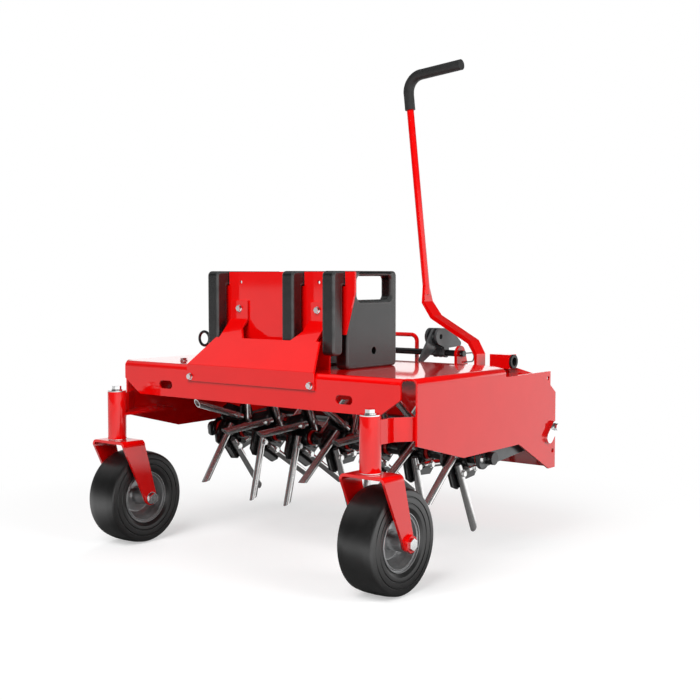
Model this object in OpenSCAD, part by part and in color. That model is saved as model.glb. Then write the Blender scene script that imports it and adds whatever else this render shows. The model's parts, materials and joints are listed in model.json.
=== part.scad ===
// Core aerator attachment: sheet-metal deck on two casters, with free star
// wheels of coring tines on a carriage that a hand lever lowers.
// Millimetres, +Z up, front of the machine towards -Y, ground at Z = 0.

/* [Deck] */
// Height of the deck's top face above the ground
deck_top = 553; // [540:1:580]
// Half of the width over the side panels
deck_half_w = 554.5; // [545:0.5:560]
// Thickness of the deck sheet
sheet = 6; // [4:0.5:8]
// Outside radius of the sheet's bends
bend_r = 16; // [8:1:20]
// Distance of the front flange ahead of the panels' front edges
flange_front = 30; // [25:1:40]
// Step of the flange's ends inside the panels' outside faces
flange_in = 31.5; // [25:0.5:60]
// Height of the front flange
flange_h = 99; // [83:1:103]
// Width of the flange's corner chamfers
flange_chamfer_w = 68; // [50:1:80]
// Height of the flange's corner chamfers
flange_chamfer_h = 46; // [30:1:56]
// Front edge of the side panels, along Y
panel_front_y = -305; // [-310:1:-295]
// Rear edge of the deck's top between the panels, along Y
deck_rear_y = 186; // [170:1:200]
// Length of the deck's tapered rear end
deck_taper = 61; // [40:1:80]
// Step of the deck's rear edge inside the panels' outside faces
deck_rear_in = 84.5; // [60:0.5:110]
// Distance of the tie-down slots inside the flange's ends
slot_in = 182; // [160:1:200]
// Height of the tie-down slots above the flange's lower edge
slot_h = 35; // [30:1:40]
// Length of the tie-down slots
slot_len = 56; // [40:1:70]
// Width of the tie-down slots
slot_w = 24; // [18:1:28]

/* [Side panels] */
// Depth of the panels' front edges below the deck's top
panel_front_h = 171; // [163:1:183]
// Lowest point of the front part, along Y
panel_vertex_y = -91; // [-110:1:-70]
// Depth of the front part's lowest point below the deck's top
panel_vertex_h = 226; // [213:1:227]
// Top of the notch before the rear leg, along Y
panel_notch_y = 200; // [190:1:220]
// Depth of the notch's top below the deck's top
panel_notch_h = 223; // [208:1:225]
// Length of the rear leg's foot
panel_foot_len = 39; // [29:1:49]
// Depth of the rear leg's foot below the deck's top
panel_h = 316; // [303:1:328]
// Rear edge of the panels, along Y
panel_rear_y = 414; // [410:1:420]
// Depth of the rear edge's upper end below the deck's top
panel_rear_drop = 89; // [78:1:98]
// Distance of the shoulder ahead of the rear edge
panel_shoulder_in = 32; // [24:1:33]
// Depth of the shoulder below the deck's top
panel_shoulder_drop = 65; // [58:1:71]
// Depth of the rear part's upper edge below the deck's top
panel_back_drop = 24; // [20:1:33]
// Radius of the hitch holes in the panels
hitch_hole_r = 6.5; // [5:0.25:8]
// Distance of the upper hitch hole ahead of the shoulder
hitch_up_in = 15; // [12:1:20]
// Depth of the upper hitch hole below the rear part's upper edge
hitch_up_drop = 20.5; // [15:0.5:26]
// Distance of the lower hitch hole ahead of the rear edge
hitch_low_in = 15; // [12:1:19]
// Height of the lower hitch hole above the foot
hitch_low_h = 52; // [43:1:58]

/* [Hitch plate] */
// Thickness of the rear hitch plate
plate_t = 6; // [5:0.5:10]
// Rise of the hitch plate above the panels' rear upper edges
plate_rise = 2; // [0.5:0.5:4]
// Step of the hitch plate's upper part inside the panels
plate_top_in = 48.5; // [40:0.5:70]
// Depth of the hitch plate's upper corners below the panels' shoulders
plate_step = 33; // [26:1:48]
// Fall of the hitch plate's sloping upper corners
plate_slope = 20; // [12:1:26]
// Length of the hitch plate's sloping upper corners
plate_slope_w = 82; // [60:1:100]
// Height of the rod lugs below the rod axis
lug_h = 56; // [50:1:58]
// Distance of the rod lugs from the middle
lug_x = 226; // [215:1:235]
// Thickness of each rod lug
lug_t = 10; // [8:1:12]
// Distance of the hinge rod axis ahead of the hitch plate
rod_in = 16; // [14:1:18]
// Height of the hinge rod axis above the hitch plate
rod_h = 36; // [33:1:40]
// Radius of the hinge rod
rod_r = 10; // [8:0.5:12]
// Radius of the lugs' round top
lug_r = 25; // [23:0.5:26]
// Reach of the lugs' feet behind the rod
lug_foot = 40; // [34:1:46]
// Free length of the hinge rod outside each lug
rod_out = 12; // [11:1:14]
// Wire radius of the hairpin clips
clip_r = 2.25; // [1.5:0.25:2.5]
// Distance of the hairpin clips from the rod's ends
clip_in = 6; // [5:0.5:7]
// Length of the hairpin clips ahead of the rod axis
clip_front = 18; // [14:1:24]
// Radius of the clips' bends
clip_bend_r = 14; // [12:1:16]
// Length of the clips' upper legs behind the rod
clip_back = 52; // [44:1:58]
// Length of the clips' lower legs
clip_leg = 38; // [28:1:42]
// Half width of the square hitch sleeves
sleeve_r = 21.5; // [19:0.5:22]
// Distance of the hitch sleeve axis ahead of the hitch plate
sleeve_in = 22; // [22:0.5:28]
// Height of the hitch sleeve axis above the hitch plate
sleeve_h = 20; // [17:1:23]
// Inner end of the hitch sleeves
sleeve_in_x = 353; // [348:1:358]
// Length of the hitch sleeves
sleeve_len = 68; // [60:1:76]
// Length of the sleeves' feet down the hitch plate
sleeve_foot_h = 31; // [20:1:40]
// Width of the sleeves' feet
sleeve_foot_w = 24; // [18:1:30]
// Radius of the open bore in the sleeve bushings
bushing_bore_r = 12.75; // [10:0.25:15]
// Outside radius of the sleeve bushings
bushing_r = 16; // [15.5:0.5:18]
// Thickness of the bushings' flanges
bushing_flange_t = 7; // [4:0.5:9]
// Bar radius of the carrying loop
loop_bar_r = 7; // [5:0.5:8]
// Middle of the carrying loop, from the machine's middle
loop_x = -26; // [-40:1:0]
// Half width of the carrying loop, to the bar's axis
loop_half_w = 65; // [50:1:70]
// Height of the carrying loop's upper bar axis above the hitch plate
loop_h = 88; // [70:1:100]
// Bend radius of the carrying loop, to the bar's axis
loop_bend_r = 22; // [16:1:30]
// Depth of the carrying loop's lower ends below the hitch plate's upper edge
loop_drop = 61; // [45:1:80]
// Height of the loop's weld pads
loop_pad_h = 40; // [25:1:50]

// Gap between the loop's bars and the hitch plate, filled by the weld pads
loop_gap = 1; // [0.5:0.1:2]

/* [Coupler] */
// Outer face of the right coupler plate
coupler_x = 176; // [170:1:180]
// Width over the two coupler plates
coupler_w = 45; // [40:1:60]
// Thickness of each coupler plate
coupler_t = 8; // [6:0.5:10]
// Distance of the coupler bore ahead of the hinge rod
coupler_hole_in = 32; // [28:1:36]
// Height of the coupler bore above the hinge rod
coupler_hole_h = 53; // [50:1:56]
// Radius of the coupler bores
coupler_hole_r = 8; // [6:0.5:10]
// Radius of the lobe around the coupler bores
coupler_lobe_r = 27; // [22:1:28]
// Radius of the coupler plates around the hinge rod
coupler_foot_r = 15; // [13:0.5:15.5]
// Radius of the coupler plates' waist above the hinge rod
coupler_waist_r = 14; // [10:1:16]
// Height of the coupler plates' waist above the hinge rod
coupler_waist_h = 29; // [26:1:34]
// Distance of the coupler plates' upper shoulder behind the hinge rod
coupler_crown_back = 16; // [10:1:22]
// Height of the upper shoulder's middle above the hinge rod
coupler_crown_h = 58; // [54:1:62]
// Radius of the coupler plates' upper shoulder
coupler_crown_r = 20; // [15:1:22]
// Distance of the coupler plates' rear tips behind the hinge rod
coupler_tip_back = 75; // [66:1:80]
// Height of the rear tips above the hinge rod
coupler_tip_h = 27; // [24:1:32]
// Radius of the coupler plates' rear tips
coupler_tip_r = 9; // [7:1:12]
// Radius of the tube between the coupler plates
coupler_tube_r = 14; // [13:0.5:15]
// Reach of the coupler's tongue ahead of its bore
tongue_reach = 78; // [60:1:90]
// Depth of the tongue's end below the bore
tongue_drop = 71; // [60:1:74]
// Radius of the tongue's end
tongue_r = 9; // [7:1:12]
// Width of the tongue's root below the bore
tongue_root = 30; // [20:1:40]

/* [Casters] */
// Distance of the caster barrels inside the panels' outside faces
caster_in = 73.5; // [70:0.5:80]
// Distance of the caster barrels ahead of the panels' front edges
caster_front = 99; // [95:1:103]
// Distance of the wheel axle behind the barrel axis
trail = 68; // [60:1:75]
// Tyre radius
tyre_r = 140; // [130:1:145]
// Tyre width
tyre_w = 112; // [90:1:118]
// Radius of the tyre's rounded shoulders
tyre_shoulder_r = 30; // [20:1:34]
// Radius of the tyre's inner edge on the rim
bead_r = 72; // [68:1:76]
// Radius of the rim's flanges
rim_r = 79; // [76:1:82]
// Wheel hub radius
hub_r = 22; // [18:1:26]
// Wheel hub length
hub_len = 126; // [120:1:130]
// Axle bolt radius
axle_r = 9.5; // [8:0.5:11]
// Caster barrel outside radius
barrel_r = 27.7; // [25:0.1:30]
// Caster spindle radius
spindle_r = 12.7; // [11:0.1:15]
// Lower end of the caster barrel
barrel_low = 323; // [318:1:328]
// Upper end of the caster barrel
barrel_top = 465; // [455:1:475]
// Thickness of the silver washers at the barrel's ends
washer_t = 4; // [2:0.5:5]
// Radius of the silver washers at the barrel's ends
washer_r = 27; // [22:0.1:30]
// Thread radius of the nuts on the spindles
nut_r = 8; // [7:0.1:12]
// Width of the gussets under the caster arms at the panels
gusset_w = 83; // [60:1:100]
// Thickness of the fork sheet
fork_t = 8; // [6:0.5:9]
// Inside width of the fork
fork_in_w = 128; // [124:1:134]
// Lower edge of the caster arms
arm_low = 394; // [385:1:400]
// Upper edge of the caster arms
arm_top = 456; // [440:1:458]
// Thickness of the caster arm plates
arm_t = 8; // [6:0.5:10]
// Distance of the arms' inner faces outside the barrel axis
arm_off = 19; // [15:1:19]
// Distance of the arms' bends behind the barrel axis
arm_bend = 62; // [54:1:68]
// Distance of the arms' second bends behind the panels' front edges
arm_meet = 20; // [13:1:30]
// Distance of the arms' rear ends behind the panels' front edges
arm_lap = 115; // [85:1:145]
// Radius of the fork's ends around the axle
fork_eye_r = 22; // [20:1:26]
// Reach of the fork's top ahead of the spindle
fork_front = 36; // [30:1:42]
// Reach of the fork's top behind the spindle
fork_back = 46; // [36:1:52]
// Rake of the fork's ends around the axle, in degrees
fork_rake = 22; // [15:1:30]
// Thickness of the rim's web
rim_web = 10; // [6:1:14]
// Wall thickness of the rim
rim_wall = 5; // [3:0.5:6]
// Half width of the rim over its flanges
rim_half_w = 50; // [44:1:53]

/* [Weight rack] */
// Distance of the rack plate behind the front flange
rack_back = 126; // [120:1:130]
// Thickness of the upright rack plate
rack_t = 6; // [5:0.5:8]
// Height of the rack plate above the deck
rack_h = 271; // [257:1:277]
// Half width of the rack plate's upper part
rack_half_w = 278; // [265:1:285]
// Half width of the rack plate's lower part
rack_low_half_w = 245; // [235:1:250]
// Half width of the rack plate's foot on the deck
rack_foot_half_w = 188; // [170:1:195]
// Height of the rack plate's step above the deck
rack_step_h = 98; // [87:1:107]
// Height above the deck where the rack plate reaches its full width
rack_taper_h = 214; // [200:1:227]
// Depth of the open holes below the rack plate's upper edge
rack_hole_drop = 30; // [24:1:40]
// Gap around the weights in the rack plate's notches
rack_gap = 2; // [1:0.5:4]
// Thickness of the cover sheet
cover_t = 6; // [4:0.5:7]
// Height of the cover's inner crease above the deck
cover_lift = 1; // [0.5:0.1:2]
// Half width of the cover at the deck
cover_half_w = 243; // [235:1:250]
// Half width of the cover at its crease
cover_crease_half_w = 198; // [190:1:198]
// Height of the cover's crease above the deck
cover_h = 84; // [77:1:92]
// Distance of the cover's crease behind the front flange
cover_crease_back = 74; // [67:1:77]
// Depth of the cover's flange below the deck's top
cover_drop = 46; // [41:1:53]
// Inner edge of the cover's two tabs
tab_in = 118; // [105:1:120]
// Width of the filled inner corners below the tabs
tab_fill_w = 26; // [16:1:32]
// Height of the filled inner corners below the tabs
tab_fill_h = 25; // [16:1:32]
// Outer edge of the cover's two tabs
tab_out = 186; // [175:1:192]
// Height above the deck where the tabs meet the rack plate
tab_h = 133; // [127:1:137]
// Height of the tabs' upper edges above the deck
tab_end_h = 187; // [177:1:207]
// Distance of the rack bolts from the middle
rack_bolt_x = 150; // [140:1:160]
// Height of the rack bolts above the deck
rack_bolt_h = 164; // [157:1:172]
// Distance of the cover's flange bolts from the middle
cover_bolt_x = 229; // [215:1:232]
// Depth of the cover's flange bolts below the deck's top
cover_bolt_drop = 33; // [23:1:36]
// Radius of the rack and cover bolts
small_bolt_r = 5; // [4:0.5:6]
// Radius of the loose deck bolt
deck_bolt_r = 6; // [5:0.5:8]
// Distance of the loose deck bolt inside the left panel's outside face
deck_bolt_in = 186.5; // [180:0.5:195]
// Distance of the loose deck bolt behind the front flange
deck_bolt_back = 100; // [90:1:110]

/* [Weights] */
// Thickness of each suitcase weight
weight_t = 43; // [38:0.5:45]
// Middle of the outer weights
weight_x = 220.5; // [218:0.5:223]
// Middle of the inner weight
weight_in_x = 73.5; // [60:0.5:90]
// Distance of the noses' front faces ahead of the rack plate
nose_front = 47; // [45:1:49]
// Depth of the noses
nose_d = 40; // [34:1:42]
// Height of the noses' lower ends above the deck
nose_h = 41; // [27:1:57]
// Gap between the rack plate and the slabs
slab_gap = 7; // [5:0.5:9]
// Length of the slabs
slab_len = 228; // [200:1:240]
// Height of the weights
weight_h = 273; // [267:1:279]
// Height of the bridges from nose to slab
bridge_h = 40; // [31:1:51]
// Corner radius of the weights
weight_r = 14; // [8:1:18]
// Length of the hand hole
hand_len = 157; // [130:1:165]
// Height of the hand hole
hand_h = 66; // [45:1:70]
// Depth of the hand hole's lower edge below the weight's top
hand_drop = 81; // [78:1:85]
// Distance of the hand hole behind the slab's front face
hand_in = 47; // [41:1:56]
// Distance of the lock rod axis behind the slabs' front faces
lock_back = 120; // [111:1:126]
// Height of the lock rod axis above the deck
lock_h = 48; // [37:1:57]
// Radius of the lock rod holes in the weights
lock_hole_r = 10; // [8:0.5:12]
// Radius of the lock rod
lock_r = 4.5; // [4:0.5:6]
// Length of the lock rod outside its tab's middle
lock_out = 20; // [14:1:30]
// Radius of the lock rod's ring, to the bar's axis
lock_ring_r = 22; // [18:1:24]
// Turn of the ring on the lock rod's end, in degrees
lock_ring_turn = 30; // [10:1:40]
// Distance of the lock rod's tab inside the left panel's outside face
lock_tab_in = 152.5; // [146:0.5:158]
// Half width of the lock rod's tab
lock_tab_half_w = 14; // [10:1:18]

/* [Carriage] */
// Distance of the carriage pivot ahead of the panels' rear edges
pivot_in = 47; // [44:1:54]
// Height of the carriage pivot above the panels' feet
pivot_h = 96; // [91:1:101]
// Radius of the pivot pins
pin_r = 12; // [10:0.5:14]
// Length of the pivot pins inside the panels' outside faces
pin_len = 64.5; // [55:0.5:75]
// Thickness of the pins' keeper plates
keeper_t = 10; // [6:0.5:12]
// Length of the keeper plates, between end centres
keeper_len = 40; // [32:1:44]
// Width of the keeper plates
keeper_w = 36; // [30:1:40]
// Radius of the pins' collars between the arms and the panels
collar_r = 20; // [17:0.5:24]
// Turn of the keeper plates, in degrees
keeper_turn = 45; // [30:1:60]
// Thread radius of the keeper plates' bolts
keeper_bolt_r = 6; // [5:0.5:6.5]
// Outside radius of the carriage tube
tube_r = 25; // [22:1:27]
// Distance of the rotor axis ahead of the carriage pivot
rotor_front = 300.4; // [292:0.1:307]
// Depth of the rotor axis below the carriage pivot
rotor_drop = 27.3; // [25:0.1:33]
// Radius of the rotor shaft
shaft_r = 16; // [14:0.5:18]
// Gap between the swing arms and the panels
swing_in = 16.5; // [14:0.5:20]
// Thickness of the swing arms
swing_t = 12; // [8:1:14]
// Height of the swing arms
swing_h = 46; // [40:1:50]
// Radius of the swing arms' rear eyes
swing_eye_r = 27; // [25:0.5:30]
// Length of the swing arms ahead of the rotor axis
swing_nose = 42; // [36:1:46]
// Corner chamfer of the swing arms' front ends
swing_chamfer = 8; // [5:1:12]
// Radius of the shaft's end bosses
boss_r = 18; // [16:0.5:19]
// Length of the shaft's end bosses outside the swing arms
boss_len = 24; // [13:1:26]
// Distance of the swing arms' front bolts from the bosses
arm_bolt_in = 12; // [11:0.5:14]
// Radius of the bearing flanges inside the swing arms
shaft_flange_r = 34; // [28:1:40]
// Thickness of the bearing flanges inside the swing arms
shaft_flange_t = 8; // [6:1:12]

/* [Star wheels] */
// Length of the end spacers beside the outer star wheels
end_spacer_len = 31.8; // [20:0.1:40]
// Tip distance along a tine from the rotor axis
tine_tip = 224; // [215:1:226]
// Root distance along a tine from the rotor axis
tine_root = 4; // [0:1:10]
// Sideways offset of the tines from the rotor axis
tine_offset = 42; // [38:1:44]
// Outside radius of the tine tubes
tine_r = 11; // [9:0.5:12]
// Wall of the tine tubes
tine_wall = 2.5; // [2:0.5:3.5]
// Number of tines on each star wheel
tines = 5; // [4:1:5]
// Length of the closed cutting end below each window
tine_ring = 32; // [28:1:40]
// Slant of the tines' cut ends, in degrees
tine_cut = 45; // [20:1:50]
// Gap between tines and star plates
tine_gap = 0.3; // [0.2:0.1:1]
// Length of the open window at each tine's tip
tine_window = 70; // [50:1:90]
// Thickness of the star plates
star_t = 8; // [6:0.5:10]
// Outside radius of the star hubs
star_hub_r = 29; // [26:1:31]
// Length of the star hubs
star_hub_len = 76; // [60:1:84]
// Reach of the star plates along each tine
star_arm = 80; // [74:1:88]
// Width of the star plates' arms
star_arm_w = 66; // [56:1:70]
// Corner chamfer of the star plates' arms
star_chamfer = 18; // [12:1:24]
// Start of the tines' bores, along the tine
tine_bore = 62; // [56:1:72]
// Depth of the bolt heads' seats on the round tines
head_sink = 1; // [0.5:0.1:1.5]
// Radius of the star plates' middle
star_core_r = 58; // [50:1:64]
// Radius of the tine bolts
tine_bolt_r = 5; // [4:0.5:6]
// Tine bolt, along the tine
tine_bolt = 34; // [30:1:40]
// Radius of the black spacers between the stars
spacer_r = 21; // [19:0.5:23]
// Radius of the red rings at the spacers' ends
ring_r = 24.5; // [23.5:0.5:27]
// Thickness of the red rings at the spacers' ends
ring_t = 9; // [6:0.5:12]

/* [Lift lever] */
// Lift shaft behind the carriage pivot, along Y
lift_dy = 10; // [6:1:14]
// Lift shaft above the carriage pivot
lift_dz = 157; // [150:1:162]
// Radius of the lift shaft
lift_r = 17; // [14:0.5:19]
// Reach of the cranks and of the carriage lugs
crank_r = 80; // [70:1:85]
// Rise of the cranks above level, in degrees
crank_rise = 20; // [10:1:24]
// Middle of the cranks, from the middle
crank_x = 200; // [198:1:204]
// Thickness of the cranks and of the carriage lugs
crank_t = 10; // [8:1:12]
// Radius of the eyes on cranks, lugs and links
crank_eye_r = 15; // [13:1:17]
// Radius of the carriage lugs around the carriage tube
lug_root_r = 31; // [28:0.5:34]
// Radius of the cranks around the lift shaft
crank_root_r = 25; // [22:0.5:28]
// Radius of the link studs
stud_r = 8; // [6:0.5:10]
// Width of the lift links between their eyes
link_w = 21; // [16:1:26]
// Thickness of the lift links
link_t = 8; // [6:0.5:10]
// Middle of the lift brackets, from the middle
bracket_x = 275; // [270:1:280]
// Radius of the lift brackets around the lift shaft
bracket_r = 30; // [26:1:30]
// Inner face of the lever's lower end
lever_x = 304; // [300:1:308]
// Thickness of the lever bar
lever_t = 10; // [8:0.5:12]
// Width of the lever bar
lever_w = 50; // [40:1:54]
// Height of the lever's first bend above the lift shaft
lever_bend1_h = 78; // [70:1:85]
// Distance of the second bend inside the lower end
lever_bend2_in = 24; // [18:1:30]
// Height of the second bend above the first
lever_bend2_h = 39; // [32:1:46]
// Distance of the third bend inside the second
lever_bend3_in = 140; // [125:1:150]
// Height of the third bend above the second
lever_bend3_h = 75; // [65:1:85]
// Distance of the fourth bend inside the third
lever_bend4_in = 34; // [26:1:42]
// Height of the fourth bend above the third
lever_bend4_h = 46; // [38:1:54]
// Distance of the round rod's lower end inside the fourth bend
lever_rod_in = 6; // [2:1:12]
// Height of the round rod's lower end above the fourth bend
lever_rod_h = 56; // [45:1:65]
// Distance of the grip's elbow inside the round rod's lower end
lever_top_in = 76; // [60:1:90]
// Height of the grip's elbow above the round rod's lower end
lever_top_h = 662; // [630:1:690]
// Reach of the grip's free end from its elbow
grip_reach = 206; // [190:1:220]
// Rise of the grip's free end above its elbow
grip_rise = 19; // [5:1:30]
// Overlap of the lever rod on the flat bar
rod_lap = 33; // [20:1:45]
// Radius of the lever rod
lever_rod_r = 11.5; // [9:0.5:13]
// Radius of the grip
grip_r = 17; // [14:0.5:19]
// Length of the grip below its elbow
grip_drop = 104; // [80:1:130]
// Bend radius of the grip's elbow, to the bar's axis
elbow_r = 52; // [40:1:60]
// Step in radius where the grip's straight parts meet its elbow
grip_seam = 0.4; // [0.2:0.1:1]

/* [Clearances] */
// Radial clearance of running fits
run_gap = 0.05; // [0.02:0.01:0.1]
// Radial clearance of bolts in plain holes
bolt_gap = 0.3; // [0.2:0.05:0.6]
// Side clearance between parts that turn past each other
side_gap = 0.6; // [0.4:0.1:1.5]

/* [Hidden] */
$fn = 64;
over = 1;
tangent_in = 0.04;
star_side = 3;
head_washer = 2;
head_washer_t = 0.4;
head_size = 1.75;
head_h = 1.6;
deck_low = deck_top - sheet;
panel_in = deck_half_w - sheet;
panel_top = deck_top - bend_r;
plate_y = panel_rear_y - plate_t;
caster_y = panel_front_y - caster_front;
wheel_y = caster_y + trail;
fork_out_w = fork_in_w + 2 * fork_t;
fork_top = barrel_low - washer_t;
flange_y = panel_front_y - flange_front;
rack_y = flange_y + rack_back;
slab_y = rack_y + rack_t + slab_gap;
pivot_y = panel_rear_y - pivot_in;
lift_y = pivot_y + lift_dy;
panel_foot_z = deck_top - panel_h;
pivot_z = panel_foot_z + pivot_h;
lift_z = pivot_z + lift_dz;
crank_dy = -crank_r * cos(crank_rise);
crank_dz = crank_r * sin(crank_rise);
rod_end = lug_x + lug_t / 2 + rod_out;
weight_xs = [-weight_x, weight_in_x, weight_x];
rotor_z = pivot_z - rotor_drop;
rotor_y = pivot_y - rotor_front;
swing_angle = atan2(pivot_z - rotor_z, pivot_y - rotor_y);
swing_len = norm([pivot_y - rotor_y, pivot_z - rotor_z]);
swing_x = panel_in - swing_in;
star_pitch = (swing_x - swing_t - shaft_flange_t - end_spacer_len - side_gap - star_hub_len / 2) / star_side;
spacer_len = star_pitch - star_hub_len - 2 * side_gap;
tine_x = star_t / 2 + tine_r + tine_gap;
stud_len = 2 * side_gap + link_t;
lift_left_x = bracket_x + crank_t;
link_angle = atan2(lift_dz, lift_dy);
link_len = norm([lift_dy, lift_dz]);
lever_bend2_x = lever_x + lever_t / 2 - lever_bend2_in;
lever_bend3_x = lever_bend2_x - lever_bend3_in;
lever_bend4_x = lever_bend3_x - lever_bend4_in;
lever_rod_x = lever_bend4_x - lever_rod_in;
lever_top_x = lever_rod_x - lever_top_in;
lever_bend1_z = lift_z + lever_bend1_h;
lever_bend2_z = lever_bend1_z + lever_bend2_h;
lever_bend3_z = lever_bend2_z + lever_bend3_h;
lever_bend4_z = lever_bend3_z + lever_bend4_h;
lever_rod_z = lever_bend4_z + lever_rod_h;
lever_top_z = lever_rod_z + lever_top_h;
lever_lean = atan2(lever_rod_x - lever_top_x, lever_top_z - lever_rod_z);
lever_rod_len = norm([lever_rod_x - lever_top_x, lever_top_z - lever_rod_z]);
grip_end_z = lever_top_z + grip_rise;
grip_end_x = lever_top_x + grip_reach;
grip_turn = 90 + lever_lean - atan2(grip_end_z - lever_top_z, grip_end_x - lever_top_x);
elbow_cut = elbow_r * tan(grip_turn / 2);
grip_len = norm([grip_end_x - lever_top_x, grip_end_z - lever_top_z]) - elbow_cut;
flange_half_w = deck_half_w - flange_in;
flange_low = deck_top - flange_h;
flange_low_half_w = flange_half_w - flange_chamfer_w;
flange_chamfer_z = flange_low + flange_chamfer_h;
bend_rear_y = deck_rear_y - deck_taper;
deck_rear_half_w = deck_half_w - deck_rear_in;
slot_x = flange_half_w - slot_in;
slot_z = flange_low + slot_h;
panel_front_low = deck_top - panel_front_h;
panel_vertex_z = deck_top - panel_vertex_h;
panel_notch_z = deck_top - panel_notch_h;
panel_foot_y = panel_rear_y - panel_foot_len;
panel_rear_z = deck_top - panel_rear_drop;
panel_shoulder_y = panel_rear_y - panel_shoulder_in;
panel_shoulder_z = deck_top - panel_shoulder_drop;
panel_back_top = deck_top - panel_back_drop;
hitch_up_y = panel_shoulder_y - hitch_up_in;
hitch_up_z = panel_back_top - hitch_up_drop;
hitch_low_y = panel_rear_y - hitch_low_in;
hitch_low_z = panel_foot_z + hitch_low_h;
plate_top = panel_back_top + plate_rise;
plate_top_half_w = panel_in - plate_top_in;
plate_step_z = panel_shoulder_z - plate_step;
rod_z = plate_top + rod_h;
lug_low = rod_z - lug_h;
lug_side_r = lug_r - tangent_in;
lug_lean = acos(lug_side_r / norm([lug_foot, rod_h])) - atan2(rod_h, lug_foot);
rod_y = plate_y - rod_in;
sleeve_y = plate_y - sleeve_in;
sleeve_z = plate_top + sleeve_h;
sleeve_foot_z = plate_top - sleeve_foot_h;
loop_top = plate_top + loop_h;
loop_low = plate_top - loop_drop;
caster_x = deck_half_w - caster_in;
arm_x = caster_x + arm_off;
arm_bend_y = caster_y + arm_bend;
arm_meet_y = panel_front_y + arm_meet;
arm_end_y = panel_front_y + arm_lap;
rack_top = deck_top + rack_h;
rack_step_z = deck_top + rack_step_h;
rack_taper_z = deck_top + rack_taper_h;
rack_hole_z = rack_top - rack_hole_drop;
cover_crease_z = deck_top + cover_h;
cover_crease_y = flange_y + cover_crease_back;
cover_low = deck_top - cover_drop;
tab_top = deck_top + tab_h;
tab_end = deck_top + tab_end_h;
rack_bolt_z = deck_top + rack_bolt_h;
cover_bolt_z = deck_top - cover_bolt_drop;
deck_bolt_x = deck_bolt_in - deck_half_w;
deck_bolt_y = flange_y + deck_bolt_back;
nose_y = rack_y - nose_front;
nose_low = deck_top + nose_h;
weight_top = deck_top + weight_h;
bridge_low = weight_top - bridge_h;
hand_low = weight_top - hand_drop;
hand_y = slab_y + hand_in;
lock_y = slab_y + lock_back;
lock_z = deck_top + lock_h;
lock_tab_x = lock_tab_in - deck_half_w;
lock_left_x = lock_tab_x - lock_out;
pin_in_x = deck_half_w - pin_len;
cover_slope = atan2(cover_h - cover_t / 2, cover_crease_back + cover_t);
cover_edge_z = cover_crease_z - cover_t * cos(cover_slope);
star_phases = [35, 14, 15, 51, 15, 57, 48];
red = [0.85, 0.04, 0.04];
black = [0.12, 0.12, 0.12];
grey = [0.4, 0.4, 0.4];
silver = [0.8, 0.8, 0.8];
vinyl = [0.2, 0.2, 0.2];

// Outer tangent of two circles [y, z, r] that are listed counterclockwise, a hair inside them
function tangent(a, b) = let(
  turn = atan2(b[1] - a[1], b[0] - a[0]) - acos((a[2] - b[2]) / norm([b[0] - a[0], b[1] - a[1]])),
  out = [cos(turn), sin(turn)]
) [[a[0], a[1]] + (a[2] - tangent_in) * out, [b[0], b[1]] + (b[2] - tangent_in) * out];

// Plate drawn tightly around circles [y, z, r] that are listed counterclockwise
module plate_around(c) {
  polygon([for (i = [0 : len(c) - 1]) each tangent(c[i], c[(i + 1) % len(c)])]);
  for (q = c) translate([q[0], q[1]]) circle(q[2]);
}

// Rounded rectangle with one corner at the origin
module round_rect(w, h, r) {
  translate([r, 0]) square([w - 2 * r, h]);
  translate([0, r]) square([w, h - 2 * r]);
  for (x = [r, w - r]) for (y = [r, h - r]) translate([x, y]) circle(r);
}

// Sheet bend: quarter ring in the first quadrant about the origin
module bend_quarter(r, t) {
  intersection() {
    difference() {
      circle(r);
      circle(r - t);
    }
    square(r);
  }
}

// Extrudes a drawing of Y and Z along X, from x to x + len
module along_x(x, len) {
  translate([x, 0, 0]) rotate([90, 0, 90]) linear_extrude(len) children();
}

// Extrudes a drawing of X and Z along Y, from y to y + len
module along_y(y, len) {
  translate([0, y + len, 0]) rotate([90, 0, 0]) linear_extrude(len) children();
}

// Copies to both sides of the machine
module both_sides() {
  children();
  mirror([1, 0, 0]) children();
}

// Cylinder along X, from x to x + len
module rod_x(x, len, r) {
  translate([x, 0, 0]) rotate([0, 90, 0]) cylinder(r = r, h = len);
}

// Hexagon head standing on Z = 0 with its washer face
module hex_head(r) {
  cylinder(r = head_washer * r, h = head_washer_t * r);
  cylinder(r = head_size * r, h = head_h * r, $fn = 6);
}

// Bolt along -Y from the face at y: head in front, shank and nut behind len
module bolt_y(x, y, z, r, len) {
  translate([x, y, z]) rotate([90, 0, 0]) hex_head(r);
  translate([x, y, z]) rotate([-90, 0, 0]) cylinder(r = r, h = len);
  translate([x, y + len, z]) rotate([-90, 0, 0]) hex_head(r);
}

// Straight bar of a linkage in a drawing of Y and Z, from the origin outwards
module link_bar(len, w, r0, r1) {
  translate([0, -w / 2]) square([len, w]);
  circle(r0);
  translate([len, 0]) circle(r1);
}

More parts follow.
